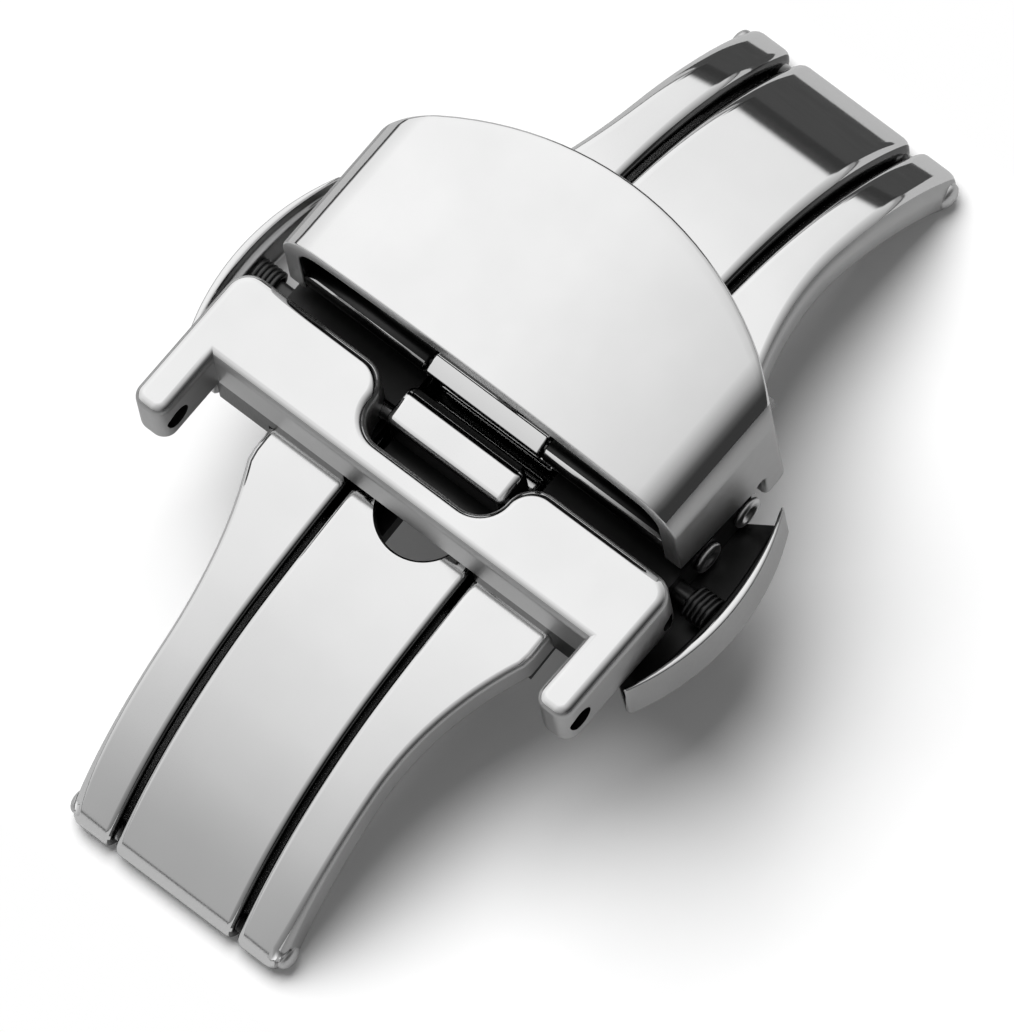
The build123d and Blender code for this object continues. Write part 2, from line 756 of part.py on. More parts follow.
parts = {
    "rail_front": rail(-1),
    "rail_rear": rail(1),
    "base_bridge": base_bridge(),
    "lock_housing_front": lock_housing(-1),
    "lock_housing_rear": lock_housing(1),
    "lock_cap_front": lock_cap(-1),
    "lock_cap_rear": lock_cap(1),
    "lock_side_rivets": side_rivets(),
    "base_rivets": base_rivets(),
    "left_hinge_pin": hinge_pin(-hinge_x),
    "right_hinge_pin": hinge_pin(hinge_x),
    "button_front": button(-1),
    "button_rear": button(1),
    "slide_front": slide(-1),
    "slide_rear": slide(1),
    "button_spring_front": button_spring(-1),
    "button_spring_rear": button_spring(1),
    "left_arm": left_arm(),
    "anchor_block": anchor_block(),
    "anchor_rivets": anchor_rivets(),
    "strap_bar": strap_bar(),
    "strap_bar_pin": bar_pin(),
    "strap_bar_catches": bar_catches(),
    "right_arm": right_arm(),
    "cover_carrier": cover_carrier(),
    "carrier_catches": carrier_catches(),
    "carrier_rivets": carrier_rivets(),
    "strap_pad": strap_pad(),
    "tang": tang(),
    "cover_hinge_pin": cover_hinge_pin(),
    "strap_cover": strap_cover(),
    "cover_knuckles": cover_knuckles(),
}

os.makedirs("parts", exist_ok=True)
for name, shape in parts.items():
    export_step(shape, f"parts/{name}.step")
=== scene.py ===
import math

import bmesh
import bpy
from mathutils import Matrix, Vector


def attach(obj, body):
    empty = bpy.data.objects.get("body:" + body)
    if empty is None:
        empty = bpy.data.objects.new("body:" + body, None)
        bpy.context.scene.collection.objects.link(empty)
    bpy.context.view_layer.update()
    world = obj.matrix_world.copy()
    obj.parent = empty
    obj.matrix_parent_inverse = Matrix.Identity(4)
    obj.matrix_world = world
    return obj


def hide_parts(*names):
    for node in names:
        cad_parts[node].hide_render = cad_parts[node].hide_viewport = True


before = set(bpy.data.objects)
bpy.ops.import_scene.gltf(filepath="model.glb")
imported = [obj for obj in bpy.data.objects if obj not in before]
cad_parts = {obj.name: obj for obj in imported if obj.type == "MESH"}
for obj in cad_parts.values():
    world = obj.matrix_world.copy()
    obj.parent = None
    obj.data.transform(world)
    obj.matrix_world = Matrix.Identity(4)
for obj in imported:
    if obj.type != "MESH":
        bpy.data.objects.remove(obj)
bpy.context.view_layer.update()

# Camera.
# The clasp is seen from its front left and from well above, through a long lens, with the
# camera rolled so that the strap runs from the lower left to the upper right.
mm = 0.001
azimuth = math.radians(-38.04)
elevation = math.radians(68.26)
roll = math.radians(13.04)
picture_rows = 1032
pixels_per_mm = 26.5
picture_height = picture_rows / pixels_per_mm * mm
back = Vector((math.sin(azimuth) * math.cos(elevation), -math.cos(azimuth) * math.cos(elevation),
               math.sin(elevation)))
level_right = Vector((math.cos(azimuth), math.sin(azimuth), 0))
right = math.cos(roll) * level_right - math.sin(roll) * back.cross(level_right)
up = back.cross(right)
pivot = Vector((0, 0, 1 * mm))
left_shift = 0.302 * mm
down_shift = 0.755 * mm
back_shift = 5 * mm
aim = pivot - left_shift * right - down_shift * up + back_shift * back
lens = bpy.data.cameras.new("camera")
lens.lens = 1500
lens.clip_start = 0.01
lens.clip_end = 10
camera = bpy.data.objects.new("camera", lens)
distance = picture_height * lens.lens / lens.sensor_width
turned = Matrix((right, up, back)).transposed().to_4x4()
camera.matrix_world = Matrix.Translation(aim + back * distance) @ turned
bpy.context.scene.collection.objects.link(camera)
bpy.context.scene.camera = camera
bpy.context.scene.view_settings.view_transform = "Standard"

# Studio.
# A white tent over a white table, dark towards the front and low down on the right, with one
# broad lamp behind. The table has no underside, and past both ends of the clasp it is open to the
# camera, so that an arm that is folded out and down stays in view.
world = bpy.data.worlds.new("tent")
bpy.context.scene.world = world
world.use_nodes = True
tent = world.node_tree
tent.nodes.clear()


def add(tree, kind, **settings):
    """A node with its settings; numbers for named inputs go in as defaults."""
    node = tree.nodes.new(kind)
    for key, value in settings.items():
        if hasattr(node, key):
            setattr(node, key, value)
        else:
            node.inputs[key.replace("_", " ")].default_value = value
    return node


def ramp(tree, source, stops):
    """A grey ramp over positions from 0 to 1."""
    node = add(tree, "ShaderNodeValToRGB")
    band = node.color_ramp
    while len(band.elements) < len(stops):
        band.elements.new(0.5)
    for element, (place, grey) in zip(band.elements, stops):
        element.position = place
        element.color = (grey, grey, grey, 1)
    tree.links.new(source, node.inputs["Fac"])
    return node.outputs["Color"]


def calculate(tree, operation, first, second):
    """A sum on two values, each a number or the output of a node."""
    node = add(tree, "ShaderNodeMath", operation=operation)
    for socket, value in zip(node.inputs, (first, second)):
        if isinstance(value, (int, float)):
            socket.default_value = value
        else:
            tree.links.new(value, socket)
    return node.outputs[0]


def spread(tree, source, low, high):
    """The share of the way from low to high, held between 0 and 1."""
    node = add(tree, "ShaderNodeMapRange", From_Min=low, From_Max=high)
    tree.links.new(source, node.inputs["Value"])
    return node.outputs["Result"]


def choose(tree, switch, usual, other):
    """The usual value, or the other number where the switch is 1."""
    node = add(tree, "ShaderNodeMix", data_type="FLOAT")
    tree.links.new(switch, node.inputs[0])
    tree.links.new(usual, node.inputs[2])
    node.inputs[3].default_value = other
    return node.outputs[0]


direction = add(tent, "ShaderNodeTexCoord")
split = add(tent, "ShaderNodeSeparateXYZ")
tent.links.new(direction.outputs["Generated"], split.inputs[0])
along, across, height = split.outputs
front_fall = ramp(tent, spread(tent, across, -1, 1), [
    (0.0, 0.03), (0.06, 0.05), (0.12, 0.13), (0.2, 0.31), (0.3, 0.51), (0.42, 0.69),
    (0.53, 0.86), (0.6, 1.04), (0.645, 1.16), (0.75, 1.21), (0.85, 1.2), (1.0, 1.0)])
left_fall = ramp(tent, spread(tent, along, -1, 1), [
    (0.0, 0.4), (0.04, 0.464), (0.105, 0.623), (0.23, 0.786), (0.36, 0.86), (0.46, 0.955),
    (0.52, 1.0), (0.8, 1.0), (0.884, 0.93), (1.0, 0.9)])
hem = ramp(tent, spread(tent, along, -0.9, -0.6), [(0.0, 0.012), (1.0, 0.07)])
skirting = spread(tent, calculate(tent, "DIVIDE", height, hem), 0.0, 1.0)
window = calculate(tent, "MULTIPLY", spread(tent, across, 0.06, 0.14),
                   spread(tent, across, 0.5, 0.42))
to_right = calculate(tent, "MULTIPLY", spread(tent, along, 0.45, 0.5), window)
beside = calculate(tent, "MULTIPLY", spread(tent, along, 0.6, 0.8),
                   calculate(tent, "SUBTRACT", 1.0, window))
gap = calculate(tent, "MULTIPLY", spread(tent, height, 0.14, 0.11), to_right)
gap_darkness = 0.94
tent_strength = 0.944
least_glow = 0.045
beside_glow = 0.36
fill_strength = 0.16
backdrop_strength = 1.0
open_share = calculate(tent, "SUBTRACT", 1.0, calculate(tent, "MULTIPLY", gap, gap_darkness))
glow = calculate(tent, "MULTIPLY", calculate(tent, "MULTIPLY", front_fall, left_fall), open_share)
glow = calculate(tent, "MULTIPLY", glow, skirting)
glow = calculate(tent, "MULTIPLY", glow, tent_strength)
glow = calculate(tent, "MAXIMUM", glow, least_glow)
glow = calculate(tent, "MAXIMUM", glow, calculate(tent, "MULTIPLY", beside, beside_glow))
path = add(tent, "ShaderNodeLightPath")
soft = choose(tent, path.outputs["Is Diffuse Ray"], glow, fill_strength)
shown = choose(tent, path.outputs["Is Camera Ray"], soft, backdrop_strength)
sky = add(tent, "ShaderNodeBackground", Color=(1.0, 1.0, 1.0, 1.0))
tent.links.new(shown, sky.inputs["Strength"])
result = add(tent, "ShaderNodeOutputWorld")
tent.links.new(sky.outputs[0], result.inputs["Surface"])

lamp = bpy.data.lights.new("back_lamp", "SUN")
lamp.energy = 3.75
lamp.angle = math.radians(50)
lamp_direction = Vector((0.14, 0.33, 0.9))
back_lamp = bpy.data.objects.new("back_lamp", lamp)
back_lamp.rotation_euler = lamp_direction.to_track_quat("Z", "Y").to_euler()
back_lamp.visible_glossy = False
bpy.context.scene.collection.objects.link(back_lamp)


def level_sheet(name, outline, faces, level):
    """A level sheet of (x, y) points in millimetres; its faces are lists of point numbers."""
    mesh = bpy.data.meshes.new(name)
    mesh.from_pydata([(x * mm, y * mm, level * mm) for x, y in outline], [], faces)
    piece = bpy.data.objects.new(name, mesh)
    bpy.context.scene.collection.objects.link(piece)
    return piece


def bare_material(name):
    """A material without nodes, for a surface that is built up node by node."""
    material = bpy.data.materials.new(name)
    material.use_nodes = True
    material.node_tree.nodes.clear()
    return material


def matt(tree, scale, detail, low_grey, high_grey):
    """A matt surface with a fine unevenness in its grey."""
    grain = add(tree, "ShaderNodeTexNoise", Scale=scale, Detail=detail)
    dull = add(tree, "ShaderNodeBsdfDiffuse")
    grey = ramp(tree, grain.outputs["Fac"], [(0.3, low_grey), (0.7, high_grey)])
    tree.links.new(grey, dull.inputs["Color"])
    return dull.outputs[0]


def lay(tree, surface, solid_share):
    """Makes a surface the material's own, see-through but for the solid share."""
    net = add(tree, "ShaderNodeMixShader")
    tree.links.new(solid_share, net.inputs[0])
    tree.links.new(add(tree, "ShaderNodeBsdfTransparent").outputs[0], net.inputs[1])
    tree.links.new(surface, net.inputs[2])
    out = add(tree, "ShaderNodeOutputMaterial")
    tree.links.new(net.outputs[0], out.inputs["Surface"])


far_edge = 2000
table_level = -0.02
table = level_sheet("table", [(-far_edge, -far_edge), (far_edge, -far_edge), (far_edge, far_edge),
                              (-far_edge, far_edge)], [(0, 1, 2, 3)], table_level)
white_paper = bare_material("white_paper")
tree = white_paper.node_tree
path = add(tree, "ShaderNodeLightPath")
seen = calculate(tree, "MAXIMUM", path.outputs["Is Camera Ray"],
                 calculate(tree, "MAXIMUM", path.outputs["Is Glossy Ray"],
                           path.outputs["Is Transmission Ray"]))
paper_lift = 0.05
lift = add(tree, "ShaderNodeEmission")
tree.links.new(calculate(tree, "MULTIPLY", seen, paper_lift), lift.inputs["Strength"])
both = add(tree, "ShaderNodeAddShader")
tree.links.new(matt(tree, 900.0, 3.0, 0.8, 0.815), both.inputs[0])
tree.links.new(lift.outputs[0], both.inputs[1])
spot = add(tree, "ShaderNodeNewGeometry")
parts = add(tree, "ShaderNodeSeparateXYZ")
tree.links.new(spot.outputs["Position"], parts.inputs[0])
opening_start = 20.7 * mm
opening_end = 22 * mm
beyond = spread(tree, calculate(tree, "ABSOLUTE", parts.outputs[0], 0), opening_start, opening_end)
beyond = calculate(tree, "MULTIPLY", beyond, path.outputs["Is Camera Ray"])
opening = calculate(tree, "MAXIMUM", beyond, spot.outputs["Backfacing"])
lay(tree, both.outputs[0], calculate(tree, "SUBTRACT", 1, opening))
table.data.materials.append(white_paper)

# Only reflections show the table's edge: a grey net that tones down the paper, and past the
# paper's outline a dark cloth that ends in the distance.
paper = [(-150, -150), (150, -150), (150, 2), (25.5, -3), (25.5, 16), (150, 78), (150, 150),
         (-150, 150)]
far = [(-far_edge, -far_edge), (far_edge, -far_edge), (far_edge, 76), (far_edge, 77),
       (far_edge, 999), (far_edge, 1000), (far_edge, far_edge), (-far_edge, far_edge)]
edge_level = 0.01
count = len(paper)
table_edge = level_sheet("table_edge", paper + far,
                         [(i, i + count, (i + 1) % count + count, (i + 1) % count)
                          for i in range(count)] + [list(range(count))], edge_level)
table_edge.visible_camera = False
table_edge.visible_diffuse = False
table_edge.visible_shadow = False
for name, grey, share in (("dark_cloth", 0.06, 1.0), ("grey_net", 0.12, 0.55)):
    cloth = bare_material(name)
    tree = cloth.node_tree
    below = add(tree, "ShaderNodeNewGeometry").outputs["Backfacing"]
    above = calculate(tree, "SUBTRACT", 1, below)
    lay(tree, matt(tree, 2000.0, 4.0, grey * 0.9, grey * 1.1),
        calculate(tree, "MULTIPLY", above, share))
    table_edge.data.materials.append(cloth)
table_edge.data.polygons[count].material_index = 1

# Outer strips.
# Two steel strips bent to one arch, wide at the middle and narrow at the ends, with polished tops and
# softly broken edges. Their walls along the slots are painted near black as shade, and their outer
# walls and undersides are satin steel painted darker as shade. They carry the lock housings and the
# end hinges.
strip_thickness = 1.6
crown_radius = 50.0
crown_end = 10.3
crown_turn = math.asin(crown_end / crown_radius)
end_turn = math.radians(51)
hinge_x = 19.55
hinge_z = strip_thickness / 2
end_x = hinge_x + hinge_z * math.sin(end_turn)
end_z = hinge_z + hinge_z * math.cos(end_turn)
end_radius = (end_x - crown_end) / (math.sin(end_turn) - math.sin(crown_turn))
end_centre_x = end_x - end_radius * math.sin(end_turn)
end_centre_z = end_z - end_radius * math.cos(end_turn)
crown_centre_z = end_centre_z + (end_radius - crown_radius) * math.cos(crown_turn)
arch_spacing = 0.45
end_steps = 10


def arch_point(turn, depth):
    """(x, z) on the arch where it slopes by turn, so far below its top face."""
    side = -1 if turn < 0 else 1
    turn = abs(turn)
    if turn <= crown_turn:
        radius = crown_radius - depth
        return side * radius * math.sin(turn), crown_centre_z + radius * math.cos(turn)
    radius = end_radius - depth
    return (side * (end_centre_x + radius * math.sin(turn)),
            end_centre_z + radius * math.cos(turn))


def arch_turns(start, end):
    """Slopes from one end to the other, closely spaced along the strip."""
    marks = [turn for turn in (start, -crown_turn, crown_turn, end) if start <= turn <= end]
    turns = []
    for low, high in zip(marks, marks[1:]):
        length = abs(arch_point(high, 0)[0] - arch_point(low, 0)[0])
        steps = max(2, round(length / arch_spacing))
        turns += [low + (high - low) * step / steps for step in range(steps)]
    return turns + [marks[-1]]


def end_round(side, turn):
    """The (x, z) points round an end hinge, or none for a strip that stops short of it."""
    if abs(turn) < end_turn:
        return []
    slopes = [end_turn + math.pi * step / (end_steps + 1) for step in range(1, end_steps + 1)]
    return [(side * (hinge_x + hinge_z * math.sin(slope)), hinge_z + hinge_z * math.cos(slope))
            for slope in slopes]


def new_piece(name, corners, faces):
    """A mesh of corners in millimetres, with its faces turned outwards."""
    mesh = bpy.data.meshes.new(name)
    mesh.from_pydata([Vector(corner) * mm for corner in corners], [], faces)
    bm = bmesh.new()
    bm.from_mesh(mesh)
    bmesh.ops.remove_doubles(bm, verts=bm.verts, dist=0.001 * mm)
    bmesh.ops.recalc_face_normals(bm, faces=bm.faces)
    bm.to_mesh(mesh)
    bm.free()
    piece = bpy.data.objects.new(name, mesh)
    bpy.context.scene.collection.objects.link(piece)
    return piece


def strip(name, start, end, inner, outer):
    """A strip of the arch between two slopes, its sides given as functions of x."""
    turns = arch_turns(start, end)
    top = [arch_point(turn, 0) for turn in turns]
    bottom = [arch_point(turn, strip_thickness) for turn in turns]
    right_round = end_round(1, end)
    left_round = end_round(-1, start)
    loop = top + right_round + bottom[::-1] + left_round[::-1]
    count = len(loop)
    corners = [(x, side(x), z) for side in (inner, outer) for x, z in loop]
    faces = [(i, (i + 1) % count, (i + 1) % count + count, i + count) for i in range(count)]
    last = len(top) - 1
    under = len(top) + len(right_round)
    right_cap = [last + i for i in range(len(right_round) + 2)]
    left_cap = [(under + last + i) % count for i in range(len(left_round) + 2)]
    for shift in (0, count):
        for i in range(last):
            below = under + last - i
            faces.append((i + shift, i + 1 + shift, below - 1 + shift, below + shift))
        for cap in (right_cap, left_cap):
            if len(cap) > 2:
                faces.append([i + shift for i in cap])
    return new_piece(name, corners, faces)


def break_edges(piece, width, segments=4, limit=40, share=None):
    """Rounds the edges and keeps the flats flat; share(middle) scales it from edge to edge."""
    bevel = piece.modifiers.new("broken_edges", "BEVEL")
    bevel.width = width * mm
    bevel.segments = segments
    bevel.limit_method = "ANGLE"
    bevel.angle_limit = math.radians(limit)
    bevel.use_clamp_overlap = False
    if share:
        bm = bmesh.new()
        bm.from_mesh(piece.data)
        layers = bm.edges.layers.float
        weight = layers.get("bevel_weight_edge") or layers.new("bevel_weight_edge")
        for edge in bm.edges:
            edge[weight] = 0.0
            if edge.is_manifold and edge.calc_face_angle() > math.radians(limit):
                edge[weight] = share((edge.verts[0].co + edge.verts[1].co) / 2 / mm)
        bm.to_mesh(piece.data)
        bm.free()
        bevel.limit_method = "WEIGHT"


def smooth(piece):
    piece.data.polygons.foreach_set("use_smooth", [True] * len(piece.data.polygons))


def even_shading(piece):
    """Smooth shading that follows the large faces, with sharp edges kept."""
    smooth(piece)
    weighted = piece.modifiers.new("even_shading", "WEIGHTED_NORMAL")
    weighted.weight = 80
    weighted.keep_sharp = True


def polished_steel(name, dark, light, shine, brushing=0.0):
    """Stainless steel: a faint unevenness in tone and gloss, and a fine polishing grain."""
    material = bpy.data.materials.new(name)
    material.use_nodes = True
    tree = material.node_tree
    surface = tree.nodes["Principled BSDF"]
    surface.inputs["Metallic"].default_value = 1.0
    place = add(tree, "ShaderNodeTexCoord")
    cloud = add(tree, "ShaderNodeTexNoise", Scale=260.0, Detail=3.0)
    tree.links.new(place.outputs["Object"], cloud.inputs["Vector"])
    tree.links.new(ramp(tree, cloud.outputs["Fac"], [(0.3, dark), (0.7, light)]),
                   surface.inputs["Base Color"])
    stretch = add(tree, "ShaderNodeMapping", Scale=(1.0, 14.0, 1.0))
    tree.links.new(place.outputs["Object"], stretch.inputs["Vector"])
    hair = add(tree, "ShaderNodeTexNoise", Scale=2400.0, Detail=2.0)
    tree.links.new(stretch.outputs[0], hair.inputs["Vector"])
    gloss = add(tree, "ShaderNodeMapRange", From_Min=0.3, From_Max=0.7, To_Min=shine,
                To_Max=shine + 0.03 + brushing)
    tree.links.new(hair.outputs["Fac"], gloss.inputs["Value"])
    tree.links.new(gloss.outputs["Result"], surface.inputs["Roughness"])
    bump = add(tree, "ShaderNodeBump", Strength=0.03 + brushing, Distance=0.00001)
    tree.links.new(hair.outputs["Fac"], bump.inputs["Height"])
    tree.links.new(bump.outputs[0], surface.inputs["Normal"])
    return material


def dress(piece, nodes, body, slot, *materials):
    """Gives a piece its finish, its body and the solids that it stands for, if any."""
    for material in materials:
        piece.data.materials.append(material)
    if nodes:
        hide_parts(*nodes)
    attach(piece, body)


def pick_faces(piece, finish, test):
    """Gives one of the finishes to the faces that a test on centre and direction picks."""
    for face in piece.data.polygons:
        if test(face.center / mm, face.normal):
            face.material_index = finish


strip_steel = polished_steel("strip_steel", 0.76, 0.79, 0.05)
# Near black steel: painted shade on the walls along the slots and in the arm's hole.
slot_shade_steel = polished_steel("slot_shade_steel", 0.1, 0.14, 0.16)
# Satin steel for walls and undersides: a real satin finish, with painted shade in its darker grey.
satin_and_shade_steel = polished_steel("satin_and_shade_steel", 0.46, 0.51, 0.36, 0.02)
rail_inner = 3.12
rail_half_width = 5.2
rail_middle = (rail_inner + rail_half_width) / 2
flare_half_width = 6.9
flare_start = 6.6
flare_end = 14.0
flare_rise = flare_half_width - rail_half_width
flare_radius = ((flare_end - flare_start) ** 2 + flare_rise ** 2) / (2 * flare_rise)
strip_rounding = 0.9
narrow_share = 0.33
outer_share = 0.8
inner_share = 0.55
right_run_start = 6
right_run_length = 10
left_run_start = -19.2
left_run_length = 0.8


def rail_outer(x):
    """Half width of the base at x, with the flare."""
    x = abs(x)
    if x <= flare_start:
        return flare_half_width
    if x < flare_end:
        return rail_half_width + flare_radius - math.sqrt(flare_radius ** 2 - (flare_end - x) ** 2)
    return rail_half_width


def widening(middle, wide, left_end_too=False):
    """The edges along the top are rounded more and more towards the right end."""
    run = (middle.x - right_run_start) / right_run_length
    if left_end_too:
        run = max(run, (left_run_start - middle.x) / left_run_length)
    run = min(max(run, 0), 1)
    depth = end_radius - math.hypot(middle.x - end_centre_x, middle.z - end_centre_z)
    level = min(max(1 - depth / strip_thickness, 0), 1)
    return narrow_share + (wide - narrow_share) * run * level


def rail_widening(middle, side):
    """The outer edge is rounded more than the inner one, and a little at the left end too."""
    if side * middle.y > rail_middle:
        return widening(middle, outer_share, True)
    return widening(middle, inner_share)


for name, side in (("front", -1), ("rear", 1)):
    rail = strip("outer_strip_" + name, -end_turn, end_turn,
                 lambda x: side * rail_inner, lambda x: side * rail_outer(x))
    # Painted shade: the walls along the slots are near black, and the outer walls and undersides
    # darker satin.
    pick_faces(rail, 1, lambda centre, facing: side * facing.y < -0.9)
    pick_faces(rail, 2, lambda centre, facing: side * facing.y > 0.8 or facing.z < -0.5)
    break_edges(rail, strip_rounding, 5, 40, lambda middle: rail_widening(middle, side))
    even_shading(rail)
    dress(rail, ["rail_" + name], "base", "polished_steel", strip_steel, slot_shade_steel, satin_and_shade_steel)

# Folding arms.
# Two steel strips of the same arch lie between the outer ones and turn on the end hinges. They
# nearly meet at the middle, and the left one has a round hole with a fine chamfer.
arm_half_width = 2.9
arm_share = 0.75
left_arm_end = -0.55
right_arm_end = -0.25
hole_x = -4.4
hole_radius = 1.87
hole_chamfer = 0.12
hole_reach = 2.1
left_arm = strip("folding_arm_left", -end_turn, math.asin(left_arm_end / crown_radius),
                 lambda x: -arm_half_width, lambda x: arm_half_width)
right_arm = strip("folding_arm_right", math.asin(right_arm_end / crown_radius), end_turn,
                  lambda x: -arm_half_width, lambda x: arm_half_width)


def loft(name, rings):
    """A closed skin over rings of corners, all with the same number, and flat at both ends."""
    sides = len(rings[0])
    corners = [corner for ring in rings for corner in ring]
    last = len(corners) - sides
    faces = []
    for ring in range(0, last, sides):
        for i in range(sides):
            j = (i + 1) % sides
            faces.append((ring + i, ring + j, ring + sides + j, ring + sides + i))
    faces += [list(range(sides)), list(range(last, last + sides))]
    return new_piece(name, corners, faces)


def turned_piece(name, centre, axis, outline, sides=40):
    """A turned part: its outline is (distance along the axis, radius), with flat ends."""
    axis = Vector(axis)
    first = axis.orthogonal().normalized()
    second = axis.cross(first)
    turns = [2 * math.pi * i / sides for i in range(sides)]
    return loft(name, [[Vector(centre) + axis * along
                        + radius * (math.cos(turn) * first + math.sin(turn) * second)
                        for turn in turns] for along, radius in outline])


def settle(piece):
    """Turns the modifiers so far into the mesh itself."""
    graph = bpy.context.evaluated_depsgraph_get()
    graph.update()
    mesh = bpy.data.meshes.new_from_object(piece.evaluated_get(graph), depsgraph=graph)
    piece.modifiers.clear()
    piece.data = mesh


def machine(piece, tool):
    """Cuts one solid with another, keeps the cut's rim crisp and throws the tool away."""
    cut = piece.modifiers.new("machined", "BOOLEAN")
    cut.operation = "DIFFERENCE"
    cut.solver = "EXACT"
    cut.object = tool
    settle(piece)
    bpy.data.objects.remove(tool)
    crisp_angle = math.radians(35)
    bm = bmesh.new()
    bm.from_mesh(piece.data)
    for edge in bm.edges:
        edge.smooth = edge.calc_face_angle(0) < crisp_angle
    bm.to_mesh(piece.data)
    bm.free()


for arm, node in ((left_arm, "left_arm"), (right_arm, "right_arm")):
    # Painted shade: the side walls along the slots are near black, and the undersides darker satin.
    pick_faces(arm, 1, lambda centre, facing: abs(facing.y) > 0.9)
    pick_faces(arm, 2, lambda centre, facing: facing.z < -0.5)
    break_edges(arm, strip_rounding, 5, 40, lambda middle: widening(middle, arm_share))
    if node == "left_arm":
        settle(arm)
        slope = math.asin(hole_x / crown_radius)
        x, z = arch_point(slope, 0)
        drill_top = 0.5
        drill_outline = [(-4, hole_radius), (-hole_chamfer, hole_radius),
                         (drill_top, hole_radius + hole_chamfer + drill_top)]
        machine(arm, turned_piece("drill", (x, 0, z), (math.sin(slope), 0, math.cos(slope)),
                                  drill_outline, 80))
        # Painted shade: the hole's wall is near black.
        pick_faces(arm, 1, lambda centre, facing: abs(facing.z) < 0.3
                   and math.hypot(centre.x - hole_x, centre.y) < hole_reach)
    even_shading(arm)
    dress(arm, [node], node, "polished_steel", strip_steel, slot_shade_steel, satin_and_shade_steel)

# End hinges.
# A steel pin runs across each end through both outer strips and the arm, and is riveted over
# into a low dome at both ends.
pin_steel = polished_steel("pin_steel", 0.58, 0.64, 0.34)
pin_radius = 0.4
pin_head_radius = 0.55
pin_head_height = 0.3
pin_head_depth = 0.55
pin_head_flare = 0.05
pin_dome_depth = 0.08


def dome(start, radius, height, steps=10):
    """Outline of a low rounded head that rises from start along the axis."""
    return [(start + height * math.sin(math.pi / 2 * i / steps),
             max(radius * math.cos(math.pi / 2 * i / steps), 0.02))
            for i in range(steps + 1)]


def join(name, pieces):
    """One piece from several."""
    bm = bmesh.new()
    for piece in pieces:
        bm.from_mesh(piece.data)
    mesh = bpy.data.meshes.new(name)
    bm.to_mesh(mesh)
    bm.free()
    for piece in pieces:
        bpy.data.objects.remove(piece)
    whole = bpy.data.objects.new(name, mesh)
    bpy.context.scene.collection.objects.link(whole)
    return whole


pin_head_start = rail_half_width - pin_head_depth
pin_outline = [(0, pin_radius), (pin_head_start - pin_head_flare, pin_radius),
               (pin_head_start, pin_head_radius)]
pin_outline += dome(rail_half_width - pin_dome_depth, pin_head_radius, pin_head_height)
for name, x in (("left", -hinge_x), ("right", hinge_x)):
    halves = [turned_piece("half", (x, 0, hinge_z), (0, side, 0), pin_outline) for side in (-1, 1)]
    pin = join("hinge_pin_" + name, halves)
    smooth(pin)
    dress(pin, [name + "_hinge_pin"], "base", "polished_steel", pin_steel)

# Base bridge and lock housings.
# A bent plate under the arms joins the outer strips, and a stamped housing with a lid is riveted
# on each of them. They are matt steel painted near black as shade, mostly hidden by the strap bar
# and the cover.
# Near black steel: painted shade for parts inside the clasp, in hollows, in bores and under the bar.
painted_shade_steel = polished_steel("painted_shade_steel", 0.03, 0.05, 0.3, 0.03)


def refinish(nodes, material):
    """A new finish on solids that keep their shape."""
    for node in nodes:
        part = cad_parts[node]
        part.data.materials.clear()
        part.data.materials.append(material)


refinish(["base_bridge", "lock_housing_front", "lock_housing_rear", "lock_cap_front",
          "lock_cap_rear", "base_rivets"], painted_shade_steel)

# Side rivets.
# Tubular steel rivets close the housings' outer walls, four a side. Each head is rolled over a
# hollow middle, so it reads as a bright ring.
rivet_steel = polished_steel("rivet_steel", 0.62, 0.7, 0.36)
lock_centre = -0.85
lock_half_length = 4.45
lock_half_width = 9.45
lock_axis_z = 8.05
rivet_shares = (-0.9, -0.38, 0.38, 0.9)
rivet_outline = [(-0.45, 0.3), (0, 0.3), (0, 0.62), (0.06, 0.68), (0.16, 0.68), (0.23, 0.62),
                 (0.26, 0.52), (0.25, 0.42), (0.2, 0.34), (0.08, 0.3), (0.04, 0.15)]
heads = []
for side in (-1, 1):
    for share in rivet_shares:
        middle = (lock_centre + share * lock_half_length, side * lock_half_width, lock_axis_z)
        heads.append(turned_piece("head", middle, (0, side, 0), rivet_outline))
side_rivets = join("side_rivets", heads)
smooth(side_rivets)
dress(side_rivets, ["lock_side_rivets"], "base", "polished_steel", rivet_steel)

# Push buttons.
# A crescent of polished steel on each side, hollow behind, with a push rod and a wire spring
# that returns it.
button_steel = polished_steel("button_steel", 0.74, 0.78, 0.06)
# Near black steel for the springs, and as painted shade for the slides.
spring_steel = polished_steel("spring_steel", 0.07, 0.1, 0.35)
button_half_length = 4.7
button_back = 10.74
button_top = 9.3
button_height = 2.4
lip_height = 0.55
web_thickness = 0.25
web_width = 1.75
web_taper = 4
bow_steps = 28


def bow(base, bulge):
    """Points of a shallow arc that bulges outwards from a chord as long as the button."""
    radius = (button_half_length ** 2 + bulge ** 2) / (2 * bulge)
    half_turn = math.asin(button_half_length / radius)
    turns = [half_turn * (2 * i / bow_steps - 1) for i in range(bow_steps + 1)]
    return [(lock_centre + radius * math.sin(turn), base - radius + bulge + radius * math.cos(turn))
            for turn in turns]


outer = bow(button_back + 0.2, 1.15)
lip = bow(button_back + 0.05, 0.93)
inner = bow(button_back, 0.65)
web = [(x, y - web_width * min(1, web_taper * (1 - abs(2 * i / bow_steps - 1))))
       for i, (x, y) in enumerate(bow(button_back, 0.02))]
lip_bottom = button_top - lip_height
web_bottom = button_top - button_height
web_top = web_bottom + web_thickness
profile = [(outer, web_bottom), (outer, button_top), (lip, button_top), (lip, lip_bottom),
           (inner, lip_bottom), (inner, web_top), (web, web_top), (web, web_bottom)]
spring_turns = 4.5
coil_radius = 0.6
coil_steps = 150
wire_radius = 0.13
wire_sides = 10
outer_seat = button_back + 0.63
inner_seat = lock_half_width + 0.7
spring_start = outer_seat - wire_radius
spring_end = inner_seat + wire_radius


